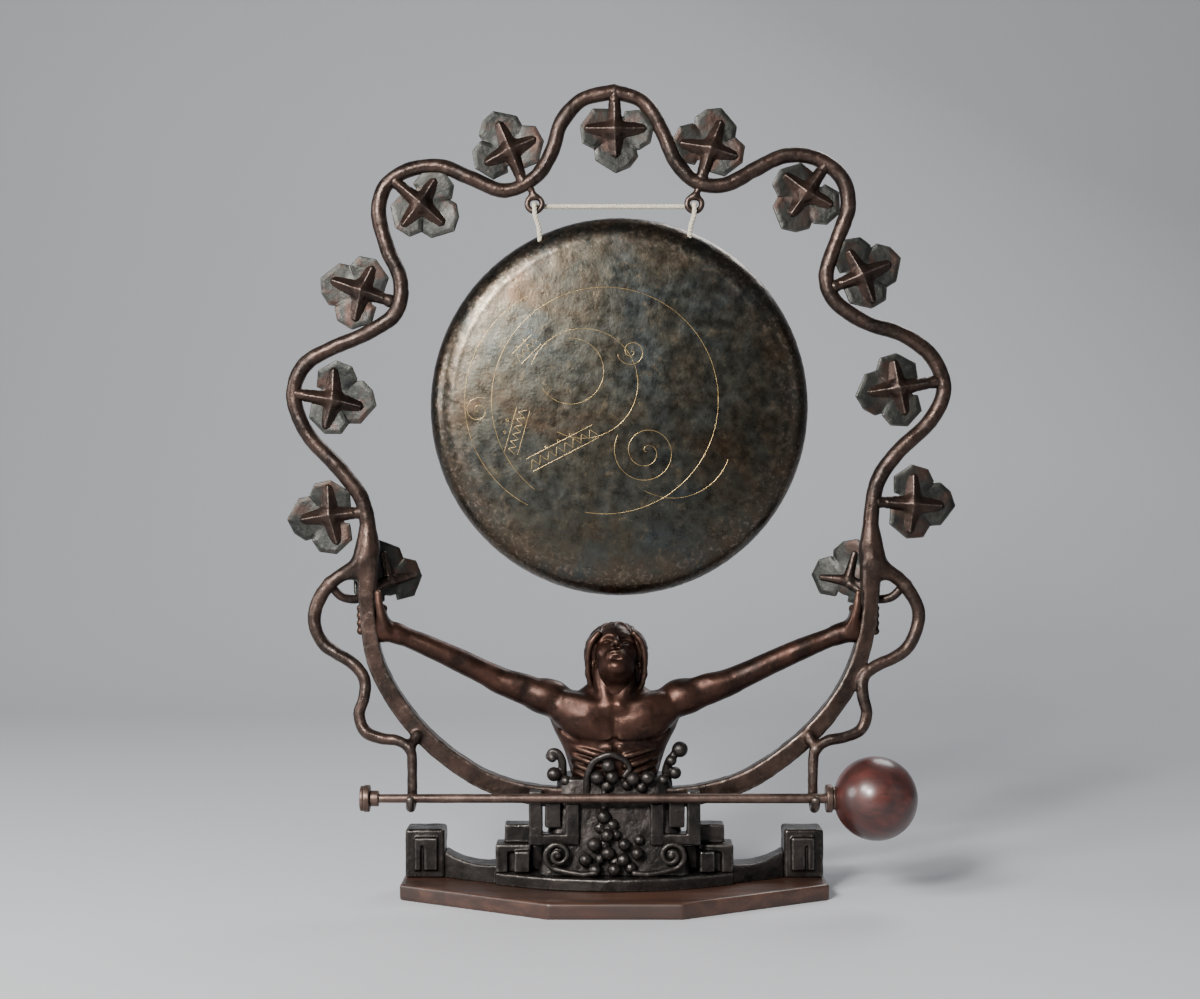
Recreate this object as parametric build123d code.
from build123d import *
import os
from math import cos, pi, radians, sin, sqrt

# A table gong hung in a hoop of cast vine, carried on the spread arms of a cast half figure.
# Millimetres. X runs across the stand, +Y goes to its back and Z is up.
# The origin is on the plinth's underside, straight below the middle of the hoop.

# Driving dimensions
GONG_RADIUS = 157.0
GONG_SHOULDER = 22.0
GONG_CROWN = 5.0
GONG_DEPTH = 38.0
GONG_SHEET = 1.8
GONG_CENTRE_X = 4.0
GONG_CENTRE_Z = 407.0
CORD_RADIUS = 2.0
CORD_HOLE_RADIUS = 2.6
CORD_HOLE_R = 152.0
CORD_HOLE_X = 61.0
EYELET_X = 66.0
EYELET_Z = 574.0
EYELET_RING = 6.1
EYELET_WIRE = 2.4
PIVOT_Y = -4.8
PIVOT_Z = 564.6
CORD_BEHIND = 5.2
VINE_RADIUS = 6.4
BAR_DEPTH = 15.5
BAR_TOP_WIDTH = 12.5
BAR_FOOT_WIDTH = 17.0
PLINTH_THICK = 13.0
SLAB_TOP = 23.0
CORE_TOP = 100.0
ROD_Y = -26.0
ROD_Z = 87.0
ROD_LEFT = 3.5
ROD_RIGHT = 4.0
HOOK_WIRE = 3.8
HOOK_INNER = 6.5
BALL_RADIUS = 34.0
RUN_GAP = 0.3
LEAF_PLATE = 3.0
GRAPE = 5.5

# The vine's centre line (X, Z) from the top of the hoop down to the seam with the flat bar.
VINE_LEFT = [(0, 667), (-27, 660), (-44, 641), (-52, 617), (-66, 596), (-91, 585), (-118, 595),
             (-144, 605), (-170, 602), (-189, 589), (-195, 567), (-188, 538), (-177, 511),
             (-181, 484), (-205, 467), (-233, 455), (-257, 440), (-265, 414), (-253, 383),
             (-228, 356), (-209, 330), (-203, 300), (-203, 283)]
VINE_RIGHT = [(0, 667), (24, 658), (40, 633), (50, 610), (68, 592), (92, 590), (117, 603),
              (142, 614), (168, 611), (188, 595), (193, 571), (184, 545), (175, 516),
              (182, 494), (208, 476), (238, 466), (262, 448), (272, 421), (260, 394),
              (236, 371), (218, 346), (212, 315), (211, 283)]
# The flat bar's centre line (X, Z) from the seam down to the pedestal.
BAR_LEFT = [(-204.5, 250), (-202, 222), (-197, 196), (-184, 169), (-164, 142), (-138, 118),
            (-106, 98), (-70, 87), (-31, 83)]
BAR_RIGHT = [(211, 250), (208, 222), (201, 196), (188, 169), (167, 142), (140, 118),
             (108, 98), (72, 87), (33, 83)]
# The outer tendrils (X, Y, Z): a loop outside the bar, then a shank that ends in the beater hook.
TENDRIL_LEFT = [(-212, 0, 275), (-228, 0, 266), (-240, -1, 254), (-247, -1, 239), (-247, -2, 224),
                (-240, -2, 211), (-228, -3, 202), (-215, -4, 194), (-206, -6, 182),
                (-206, -8, 167), (-210, -9, 153), (-205, -11, 140), (-192, -12, 134),
                (-177, -13, 132), (-167, -14, 124), (-165.4, -15.7, 107)]
TENDRIL_RIGHT = [(219, 0, 275), (234, 0, 265), (245, -1, 252), (251, -1, 237), (249, -2, 222),
                 (242, -2, 208), (230, -3, 199), (216, -4, 193), (205, -6, 184),
                 (204, -8, 169), (207, -9, 154), (202, -10, 141), (189, -12, 135),
                 (174, -13, 132), (164, -14, 124), (162, -15.7, 107)]
TENDRIL_SPLIT = 9
TENDRIL_RADIUS = 6.0
SHANK_RADIUS = 4.4
# Leaves: name, hub (X, Z), root of the stalk on the vine (X, Z).
LEAVES = [("top", (0, 635), (0, 664)),
          ("left_1", (-86, 618), (-76, 593)), ("left_2", (-160, 574), (-181, 592)),
          ("left_3", (-209, 502), (-186, 494)), ("left_4", (-232, 412), (-263, 417)),
          ("left_5", (-235, 317), (-210, 319)),
          ("right_1", (79, 619), (72, 596)), ("right_2", (158, 583), (174, 605)),
          ("right_3", (204, 515), (182, 506)), ("right_4", (234, 422), (265, 427)),
          ("right_5", (246, 326), (218, 328))]
# One leaf's three overlapping lobes in its own plane: the middle vein runs along +v.
MIDDLE_LOBE = [(-17, 10), (-20, 22), (-12, 31), (-1, 35), (8, 31), (18, 20), (16, 12), (10, 6), (-8, 5)]
LEFT_LOBE = [(-12, -15), (-20, -17), (-27, -11), (-33, 1), (-30, 11), (-21, 17), (-8, 5)]
RIGHT_LOBE = [(6, -17), (16, -18), (23, -10), (29, 1), (24, 12), (18, 15), (6, 5)]


def arc_chain(points, start=None, end=None):
    """A smooth wire of tangent arcs through the points, two arcs to a span."""
    p = [Vector(*q) for q in points]
    t = [None] + [(b - a).normalized() for a, b in zip(p, p[2:])] + [None]

    def mirrored(chord, tangent):
        c = chord.normalized()
        return c * (2 * c.dot(tangent)) - tangent

    t[0] = Vector(*start).normalized() if start else mirrored(p[1] - p[0], t[1])
    t[-1] = Vector(*end).normalized() if end else mirrored(p[-1] - p[-2], t[-2])
    edges = []
    for a, b, ta, tb in zip(p, p[1:], t, t[1:]):
        v, s, k = b - a, ta + tb, 1 - ta.dot(tb)
        if k < 1e-6:
            d = v.dot(v) / (2 * v.dot(s))
        else:
            d = (sqrt(v.dot(s) ** 2 + 2 * k * v.dot(v)) - v.dot(s)) / (2 * k)
        m = (a + ta * d + b - tb * d) * 0.5
        tm = (m - a - ta * d).normalized()
        for u, w, tu in ((a, m, ta), (m, b, tm)):
            if tu.cross((w - u).normalized()).length < 1e-4:
                edges.append(Edge.make_line(u, w))
            else:
                edges.append(Edge.make_tangent_arc(u, tu, w))
    return Wire(edges)


def tube(path, radius):
    """A round bar along a wire."""
    start = Plane(origin=path.position_at(0), z_dir=path.tangent_at(0))
    return sweep(start * Circle(radius), path=path)


def ball(centre, radius):
    return Pos(*centre) * Sphere(radius)


def cone_between(a, b, radius_a, radius_b):
    """A tapered round bar from point a to point b."""
    a, b = Vector(*a), Vector(*b)
    length = (b - a).length
    frame = Plane(origin=(a + b) * 0.5, z_dir=(b - a))
    if radius_a == radius_b:
        return frame * Cylinder(radius_a, length)
    return frame * Cone(radius_a, radius_b, length)


def box_between(low, high):
    size = [b - a for a, b in zip(low, high)]
    middle = [(a + b) / 2 for a, b in zip(low, high)]
    return Pos(*middle) * Box(*size)


def in_xz(points, y=0):
    return [(x, y, z) for x, z in points]


def ribbon(points, width_a, width_b, depth):
    """A flat bar of growing width along a line in the XZ plane, centred on Y = 0."""
    near, far = [], []
    last = len(points) - 1
    for i, (x, z) in enumerate(points):
        ax, az = points[max(i - 1, 0)]
        bx, bz = points[min(i + 1, last)]
        length = sqrt((bx - ax) ** 2 + (bz - az) ** 2)
        nx, nz = (az - bz) / length, (bx - ax) / length
        half = (width_a + (width_b - width_a) * i / last) / 2
        near.append((x + nx * half, 0, z + nz * half))
        far.append((x - nx * half, 0, z - nz * half))
    edges = arc_chain(near).edges() + arc_chain(far).edges()
    edges += [Edge.make_line(near[0], far[0]), Edge.make_line(near[-1], far[-1])]
    return extrude(Face(Wire(edges)), amount=depth / 2, dir=(0, 1, 0), both=True)


def one_solid(shape):
    """The largest solid of a shape, without the crumbs that a cut leaves."""
    solids = shape.solids()
    return max(solids, key=lambda s: s.volume)


def cut(shape, *others):
    """The shape fitted against its neighbours: their volume is taken away."""
    for other in others:
        shape = shape - other
    return one_solid(shape)


def make_plinth():
    """The bow-fronted foot plate: three facets in front, short ends and a straight back."""
    half = [(53, -78), (177, -6), (177, 60)]
    outline = half + [(-x, y) for x, y in reversed(half)]
    plate = extrude(make_face(Polyline(*outline, close=True)), amount=PLINTH_THICK)
    top_edges = plate.edges().filter_by_position(Axis.Z, PLINTH_THICK, PLINTH_THICK)
    plate = chamfer(top_edges, length=1.0)
    for x, y in screw_places():
        plate -= Pos(x, y, PLINTH_THICK / 2) * Cylinder(2.0, PLINTH_THICK)
        plate -= Pos(x, y, 2.0) * Cylinder(4.2, 4.0)
    return one_solid(plate)


def screw_places():
    return [(-80, 0), (80, 0), (-158, 33), (158, 33)]


def make_screws():
    """Four round-head screws that come up through the plinth into the casting."""
    screws = []
    for x, y in screw_places():
        shank = Pos(x, y, 10.5) * Cylinder(2.0, 15.0)
        head = Pos(x, y, 2.0) * Cylinder(3.8, 2.0)
        screws.append(one_solid(shank + head))
    return screws


def make_base_slab():
    """The lens-shaped foot of the casting, bulging to front and back."""
    front = ThreePointArc((-98, -8), (0, -37), (98, -8))
    back = ThreePointArc((98, 8), (0, 37), (-98, 8))
    sides = [Line((98, -8), (98, 8)), Line((-98, 8), (-98, -8))]
    outline = make_face(front + back + sides)
    slab = Pos(0, 0, PLINTH_THICK) * extrude(outline, amount=SLAB_TOP - PLINTH_THICK)
    return drill_for_screws(slab)


def drill_for_screws(shape):
    for x, y in screw_places():
        shape -= Pos(x, y, 10.5) * Cylinder(2.0, 15.0)
    return one_solid(shape)


def make_side_band(side, slab):
    """The low wall that runs back from the slab's tip to the end block, its top dished."""
    top = ThreePointArc((96, 29), (119, 28), (142, 35))
    rest = Polyline((142, 35), (142, PLINTH_THICK), (96, PLINTH_THICK), (96, 29))
    wall = extrude(Plane.XZ * make_face(top + rest), amount=60, both=True)
    plan = make_face(Polyline((96, -6), (142, 20), (142, 46), (96, 22), close=True))
    wall &= extrude(plan, amount=60)
    if side < 0:
        wall = mirror(wall, about=Plane.YZ)
    return cut(wall, slab)


def make_end_block(side):
    """The square block at the plinth's end, with a square spiral in relief on its front."""
    block = box_between((142, 18, PLINTH_THICK), (175, 48, 54))
    block = chamfer(block.edges(), length=1.5)
    block += box_between((148, 15, 20), (167, 19, 47))
    block -= box_between((159, 14, 15), (162, 17.5, 41))
    if side < 0:
        block = mirror(block, about=Plane.YZ)
    return drill_for_screws(block)


def make_step_block(side, *neighbours):
    """The stepped block beside the pedestal: a low front cube and a taller one behind it."""
    block = box_between((69, -8, PLINTH_THICK), (98, 18, 46))
    block += box_between((58, 2, PLINTH_THICK), (72, 18, 44))
    block += box_between((70, 2, 40), (91, 22, 61))
    block -= box_between((81, -9, SLAB_TOP), (88, -4, 40))
    block += box_between((70, -12, 24), (82, -6, 41))
    if side < 0:
        block = mirror(block, about=Plane.YZ)
    return cut(block, *neighbours)


def make_core():
    """The pedestal's body, wide at the foot and leaning back towards the figure's waist."""
    foot = Plane(origin=(0, 2, SLAB_TOP)) * RectangleRounded(124, 48, 8)
    waist = Plane(origin=(0, 16, CORE_TOP)) * RectangleRounded(92, 50, 14)
    return one_solid(loft([foot, waist]))


def make_torso():
    """The chest and ribs, loft through oval sections from the waist to the shoulders."""
    sections = [(100, 36, 24, 15), (118, 40, 25, 14), (136, 48, 27, 12), (152, 58, 27, 12),
                (166, 62, 24, 13), (178, 44, 17, 15)]
    faces = [Plane(origin=(0, y, z)) * Ellipse(a, b) for z, a, b, y in sections]
    return one_solid(loft(faces))


def make_head(torso):
    """The head thrown back on its neck, with the mass of the hair round it."""
    neck = cone_between((0, 12, 168), (1, 10, 192), 19, 17)
    skull = Pos(1.5, 10, 200) * scale(Sphere(26), by=(1.0, 1.15, 1.0))
    return cut(neck + skull, torso)


def make_arm(side, bar, torso):
    """One arm, reaching out and up to a hand that presses on the inside of the bar."""
    inside_of_bar = 197 if side < 0 else 203
    shoulder, elbow, wrist = (52, 13, 163), (118, 8, 191), (inside_of_bar - 15, 1, 224)
    arm = ball(shoulder, 14.5) + cone_between(shoulder, elbow, 14.5, 11)
    arm += ball(elbow, 11) + cone_between(elbow, wrist, 11, 8.5) + ball(wrist, 8.5)
    arm += box_between((inside_of_bar - 12, -9, 212), (inside_of_bar + 3, 9, 246))
    if side < 0:
        arm = mirror(arm, about=Plane.YZ)
    return cut(arm, bar, torso)


def make_vine(points):
    """Half of the hoop: a round bar that widens into the flat bar's section at its foot."""
    round_bar = tube(arc_chain(in_xz(points), start=(points[1][0], 0, 0), end=(0, 0, -1)), VINE_RADIUS)
    x, z = points[-1]
    side = -1 if x < 0 else 1
    bar_x, bar_z = BAR_LEFT[0] if side < 0 else BAR_RIGHT[0]
    down = (0, 0, -1)
    upper = Plane(origin=(x, 0, z), x_dir=(1, 0, 0), z_dir=down) * Circle(VINE_RADIUS)
    lower = Plane(origin=(bar_x, 0, bar_z), x_dir=(1, 0, 0), z_dir=down)
    lower = lower * Rectangle(BAR_TOP_WIDTH, BAR_DEPTH)
    return one_solid(round_bar + loft([upper, lower]))


def make_bar(points, core, vine):
    return cut(ribbon(points, BAR_TOP_WIDTH, BAR_FOOT_WIDTH, BAR_DEPTH), core, vine)


def hook_points(x, rod_radius):
    """The hook's centre line: down behind the rod, under it and up in front."""
    centre_z = ROD_Z + HOOK_INNER - rod_radius - RUN_GAP
    reach = HOOK_INNER + HOOK_WIRE
    points = []
    for angle in (0, 43, 86, 129, 172):
        t = radians(angle)
        points.append((x, ROD_Y + reach * cos(t), centre_z - reach * sin(t)))
    return points


def make_tendril(points, rod_radius, *neighbours):
    """The outer tendril, thinning to a shank and curling round the beater's rod as a hook."""
    hook = hook_points(points[-1][0], rod_radius)
    split = TENDRIL_SPLIT
    upper = arc_chain(points[:split + 1])
    lower = arc_chain(points[split:], start=upper.tangent_at(1), end=(0, 0, -1))
    curl = arc_chain([points[-1]] + hook, start=(0, 0, -1))
    tendril = tube(upper, TENDRIL_RADIUS) + ball(points[split], TENDRIL_RADIUS)
    tendril += tube(lower, SHANK_RADIUS) + ball(points[-1], SHANK_RADIUS)
    tendril += tube(curl, HOOK_WIRE) + ball(hook[-1], HOOK_WIRE)
    return cut(tendril, *neighbours)


def make_eyelets(vine_left, vine_right):
    """Two rings curled from tendrils under the vine, which the cord passes through."""
    rings = []
    for side, vine in ((-1, vine_left), (1, vine_right)):
        x = side * EYELET_X
        ring = Plane(origin=(x, 0, EYELET_Z), z_dir=(0, 1, 0)) * Torus(EYELET_RING, EYELET_WIRE)
        stalk = cone_between((x, 0, EYELET_Z + 7), (x + side * 6, 0, EYELET_Z + 19), 2.6, 3.4)
        rings.append(cut(ring + stalk, vine))
    return rings


def leaf_plane(hub, root, depth):
    """The leaf's own frame: v along the middle vein, w towards the front."""
    vein = Vector(hub[0] - root[0], 0, hub[1] - root[1]).normalized()
    front = Vector(0, -1, 0)
    return Plane(origin=(hub[0], depth, hub[1]), x_dir=vein.cross(front), z_dir=front)


def make_leaf_plate(frame):
    """The leaf's plate: three flat lobes, each overlapping the next."""
    lobes = [(MIDDLE_LOBE, -1.2), (LEFT_LOBE, 0.0), (RIGHT_LOBE, 0.6)]
    plate = Part()
    for outline, lift in lobes:
        face = make_face(Polyline(*outline, close=True))
        plate += Pos(0, 0, lift - LEAF_PLATE) * extrude(face, amount=LEAF_PLATE)
    return one_solid(frame * plate)


def make_leaf_stem(frame, root_distance, *neighbours):
    """The leaf's stalk with the three veins that spread from it over the plate."""
    hub = (0, 0, 2.0)
    stem = ball(hub, 5.0)
    for end in ((0, 25, -0.5), (-25, -3, 1.0), (24, -1, 1.6)):
        stem += cone_between(hub, end, 4.6, 1.6)
    stem += cone_between(hub, (0, -root_distance, -3.0), 4.4, 4.4)
    return cut(frame * stem, *neighbours)


def rear_leaf_frame(side):
    """The rear leaf's frame: behind the hand, turned outwards."""
    front = Vector(side * -0.45, -0.89, 0.1).normalized()
    vein = Vector(side * 0.25, 0, 1).normalized()
    hub_x = -188 if side < 0 else 196
    return Plane(origin=(hub_x, 22, 262), x_dir=vein.cross(front), z_dir=front)


def make_rear_stem(side, frame, *neighbours):
    """The rear leaf's stalk: it curls from the tendril under the fork and behind the bar."""
    x = 1.0 if side > 0 else -1.0
    offset = 4 if side > 0 else 0
    points = [(x * (234 + offset), 4, 257), (x * (226 + offset), 6, 249),
              (x * (214 + offset), 10, 247), (x * (203 + offset), 14, 252),
              (x * (193 + offset), 18, 259)]
    stem = tube(arc_chain(points), 3.6) + ball(points[-1], 4.6)
    for end in ((0, 22, 0.5), (-22, -3, 1.0), (22, -1, 1.0)):
        tip = frame.from_local_coords(Vector(*end))
        stem += cone_between(points[-1], tuple(tip), 4.2, 1.6)
    return cut(stem, *neighbours)


def make_square_scroll(side, *neighbours):
    """The square key in front of the pedestal, below the end of the bar."""
    front, back = -21.5, -8.0
    scroll = box_between((29, front, 48), (70, back, 57))
    scroll += box_between((29, front, 48), (40, back, 81))
    scroll += box_between((59, front, 48), (70, back, 90))
    scroll += box_between((44, front, 62), (57, back, 82))
    if side < 0:
        scroll = mirror(scroll, about=Plane.YZ)
    return cut(scroll, *neighbours)


def bead_chain(points, radius):
    """Straight round runs through the points with a slightly larger ball at every bend."""
    chain = ball(points[0], radius + 0.4)
    for a, b in zip(points, points[1:]):
        chain += cone_between(a, b, radius, radius)
        chain += ball(b, radius + 0.4)
    return chain


def make_arch_scroll(*neighbours):
    """The crook over the grapes, and a fern curl with a berry on each side of the waist."""
    path = arc_chain([(-23, -10, 92), (-22, -12, 104), (-16, -15, 116), (-4, -16, 121),
                      (7, -15, 117), (12, -14, 112.5)])
    crook = tube(path, 3.0) + ball((12, -14, 112.5), 3.4)
    left = bead_chain([(-44, 4, 97), (-43.4, 1.7, 107), (-44.6, 0.2, 115.3), (-49.8, -1.2, 118.6)], 3.4)
    left += ball((-51.3, -0.6, 104.2), 5.7)
    right = bead_chain([(44, 4, 97), (43.4, 1.7, 106), (45.6, 0.2, 113), (51.2, -1.2, 120)], 3.4)
    right += ball((54.2, -1.4, 123.4), 6.3) + ball((50.8, -0.4, 104.3), 5.2)
    return [cut(piece, *neighbours) for piece in (crook, left, right)]


def make_volutes(*neighbours):
    """The two small volutes that roll outwards from the foot of the grapes."""
    pieces = []
    for side in (-1, 1):
        curl = [(side * 27, -29, 26.5), (side * 36, -28.5, 27), (side * 45, -28, 29.5)]
        for i in range(6):
            t = radians(-40 + 55 * i)
            reach = 9.5 - 0.8 * i
            curl.append((side * (46 + reach * cos(t)), -27, 42 + reach * sin(t)))
        volute = tube(arc_chain(curl), 2.4) + ball(curl[-1], 2.8)
        web = cone_between((side * 46, -26, 42), (side * 46, -14, 42), 7, 8)
        volute += web
        pieces.append(cut(volute, *neighbours))
    return pieces


def make_grapes():
    """The hanging bunches: separate berries that lie against the sloping front of the pedestal."""
    places = [(-5, 112), (-14, 102), (-2, 102.5), (15, 101), (27, 102), (-9, 71), (-6, 56),
              (-16.5, 49), (-5.5, 42), (8, 49), (-24, 37), (-16, 29), (-0.5, 29.2), (7, 37), (18.5, 42)]
    return [ball((x, core_front(z) - GRAPE - RUN_GAP, z), GRAPE) for x, z in places]


def core_front(z):
    """The Y of the pedestal's front at a height; the figure's waist carries on above it."""
    return -22 + 13 * min((z - SLAB_TOP) / (CORE_TOP - SLAB_TOP), 1.0) - max(z - CORE_TOP, 0) * 0.15


def gong_profile():
    """The sheet's cross-section: crowned face, round shoulder and turned-back rim."""
    flat = GONG_RADIUS - GONG_SHOULDER
    turn = GONG_CROWN + GONG_SHOULDER
    s = sqrt(0.5)
    outer = [ThreePointArc((0, 0), (flat / 2, GONG_CROWN * 0.27), (flat, GONG_CROWN)),
             ThreePointArc((flat, GONG_CROWN),
                           (flat + GONG_SHOULDER * s, turn - GONG_SHOULDER * s),
                           (GONG_RADIUS, turn)),
             Line((GONG_RADIUS, turn), (GONG_RADIUS - 2.5, GONG_DEPTH))]
    inside = GONG_SHOULDER - GONG_SHEET
    inner = [ThreePointArc((0, GONG_SHEET), (flat / 2, GONG_CROWN * 0.27 + GONG_SHEET),
                           (flat, GONG_CROWN + GONG_SHEET)),
             ThreePointArc((flat, GONG_CROWN + GONG_SHEET),
                           (flat + inside * s, turn - inside * s),
                           (GONG_RADIUS - GONG_SHEET, turn)),
             Line((GONG_RADIUS - GONG_SHEET, turn), (GONG_RADIUS - 2.5 - GONG_SHEET, GONG_DEPTH))]
    ends = [Line((0, 0), (0, GONG_SHEET)),
            Line((GONG_RADIUS - 2.5, GONG_DEPTH), (GONG_RADIUS - 2.5 - GONG_SHEET, GONG_DEPTH))]
    return make_face(outer + inner + ends)


def make_gong():
    """The gong, hung so that its centre of mass is straight under the cord's bend."""
    shell = revolve(gong_profile(), axis=Axis.Y, revolution_arc=360)
    shift = PIVOT_Y - shell.center(CenterOf.MASS).Y
    shell = Pos(GONG_CENTRE_X, shift, GONG_CENTRE_Z) * shell
    for side in (-1, 1):
        top, hole, _ = drop_points(side, shift)
        shell -= cone_between(hole_run(hole, top, 6), hole_run(hole, top, -8),
                              CORD_HOLE_RADIUS, CORD_HOLE_RADIUS)
    return one_solid(shell), shift


def hole_run(hole, top, distance):
    """A point on the cord's line, a distance above the hole."""
    a, b = Vector(*hole), Vector(*top)
    return tuple(a + (b - a).normalized() * distance)


def drop_points(side, shift):
    """The drop cord's top at the eyelet, its hole in the shoulder and its end inside the gong."""
    hole_z = sqrt(CORD_HOLE_R ** 2 - CORD_HOLE_X ** 2) + GONG_CENTRE_Z
    rise = CORD_HOLE_R - (GONG_RADIUS - GONG_SHOULDER)
    hole_y = shift + GONG_CROWN + GONG_SHOULDER - sqrt(GONG_SHOULDER ** 2 - rise ** 2)
    top = (side * EYELET_X, PIVOT_Y, PIVOT_Z)
    hole = (side * CORD_HOLE_X + GONG_CENTRE_X * 0.25, hole_y, hole_z)
    return top, hole, hole_run(hole, top, -9.5)


def make_cord_drop(side, shift, gong):
    """The cord from the eyelet down through the gong's hole to the knot that holds it."""
    top, hole, inside = drop_points(side, shift)
    drop = cone_between(top, inside, CORD_RADIUS, CORD_RADIUS) + ball(top, CORD_RADIUS)
    drop += ball(inside, 4.6)
    return cut(drop, gong)


def make_cord_span():
    """The cord's level run behind the eyelets, with both ends turned forward and down."""
    front, back = PIVOT_Y, CORD_BEHIND
    z = EYELET_Z - EYELET_RING + EYELET_WIRE + CORD_RADIUS + 0.35
    x = EYELET_X
    corners = [(-x, front, PIVOT_Z + CORD_RADIUS + RUN_GAP), (-x, front, z), (-x, back, z),
               (x, back, z), (x, front, z), (x, front, PIVOT_Z + CORD_RADIUS + RUN_GAP)]
    radii = [4.3, 3.0, 3.0, 4.3]
    path = FilletPolyline(*corners, radius=radii)
    cord = tube(path, CORD_RADIUS)
    print("cord bend radii", radii, "volume ratio",
          round(cord.volume / (pi * CORD_RADIUS ** 2 * path.length), 4))
    return cord


def make_beater():
    """The beater: a turned wooden ball, its ferrule, a tapered rod and an end knob."""
    rod = cone_between((-194, ROD_Y, ROD_Z), (196, ROD_Y, ROD_Z), ROD_LEFT, ROD_RIGHT)
    knob = cone_between((-206.5, ROD_Y, ROD_Z), (-199, ROD_Y, ROD_Z), 10.8, 10.8)
    knob = fillet(knob.edges(), radius=1.2)
    knob += cone_between((-199.5, ROD_Y, ROD_Z), (-191.5, ROD_Y, ROD_Z), 6.3, 6.3)
    ferrule = cone_between((171.5, ROD_Y, ROD_Z), (176.5, ROD_Y, ROD_Z), 11.2, 11.2)
    ferrule += cone_between((176.5, ROD_Y, ROD_Z), (185, ROD_Y, ROD_Z), 9.8, 9.8)
    head = ball((211.8, ROD_Y, ROD_Z - 1), BALL_RADIUS)
    head = cut(head, ferrule, rod)
    return rod, cut(knob, rod), cut(ferrule, rod), head


def write(name, shape):
    """One STEP file per node; a list of separate solids goes in one node as a group."""
    if isinstance(shape, list):
        shape = Compound(children=[s.moved(Location()) for s in shape])
    shape.label = name
    export_step(shape, "parts/" + name + ".step")


def main():
    os.makedirs("parts", exist_ok=True)
    nodes = {}
    slab = make_base_slab()
    core = make_core()
    torso = make_torso()
    nodes["plinth"] = make_plinth()
    nodes["base_screws"] = make_screws()
    nodes["base_slab"] = slab
    nodes["pedestal_core"] = core
    nodes["figure_torso"] = torso
    nodes["figure_head"] = make_head(torso)
    vines = {-1: make_vine(VINE_LEFT), 1: make_vine(VINE_RIGHT)}
    bars = {-1: make_bar(BAR_LEFT, core, vines[-1]), 1: make_bar(BAR_RIGHT, core, vines[1])}
    scrolls = {}
    names = {-1: "left", 1: "right"}
    for side, name in names.items():
        nodes["side_band_" + name] = make_side_band(side, slab)
        nodes["end_block_" + name] = make_end_block(side)
        nodes["step_block_" + name] = make_step_block(side, core, slab, nodes["side_band_" + name])
        nodes["hoop_bar_" + name] = bars[side]
        nodes["vine_" + name] = vines[side]
        nodes["arm_" + name] = make_arm(side, bars[side], torso)
        scrolls[side] = make_square_scroll(side, core, bars[side], nodes["step_block_" + name])
        nodes["square_scroll_" + name] = scrolls[side]
    nodes["tendril_left"] = make_tendril(TENDRIL_LEFT, ROD_LEFT, bars[-1], vines[-1])
    nodes["tendril_right"] = make_tendril(TENDRIL_RIGHT, ROD_RIGHT, bars[1], vines[1])
    carved = [core, slab, torso, bars[-1], bars[1], scrolls[-1], scrolls[1]]
    nodes["arch_scroll"] = make_arch_scroll(*carved)
    nodes["volutes"] = make_volutes(*carved, nodes["step_block_left"], nodes["step_block_right"])
    nodes["grape_cluster"] = make_grapes()
    nodes["eyelets"] = make_eyelets(vines[-1], vines[1])
    for name, hub, root in LEAVES:
        side = -1 if "left" in name else 1
        frame = leaf_plane(hub, root, -2.0)
        plate = cut(make_leaf_plate(frame), vines[-1], vines[1])
        distance = sqrt((hub[0] - root[0]) ** 2 + (hub[1] - root[1]) ** 2)
        nodes["leaf_plate_" + name] = plate
        nodes["leaf_stem_" + name] = make_leaf_stem(frame, distance, plate, vines[-1], vines[1])
    for side, name in names.items():
        frame = rear_leaf_frame(side)
        neighbours = [bars[side], vines[side], nodes["tendril_" + name], nodes["arm_" + name]]
        plate = cut(make_leaf_plate(frame), *neighbours)
        nodes["leaf_plate_rear_" + name] = plate
        nodes["leaf_stem_rear_" + name] = make_rear_stem(side, frame, plate, *neighbours)
    gong, shift = make_gong()
    nodes["gong"] = gong
    nodes["cord_drop_left"] = make_cord_drop(-1, shift, gong)
    nodes["cord_drop_right"] = make_cord_drop(1, shift, gong)
    nodes["cord_span"] = make_cord_span()
    rod, knob, ferrule, head = make_beater()
    nodes["beater_rod"] = rod
    nodes["beater_knob"] = knob
    nodes["beater_ferrule"] = ferrule
    nodes["beater_ball"] = head
    for name, shape in nodes.items():
        write(name, shape)
    print(len(nodes), "nodes; gong face at Y", round(shift, 2))


main()
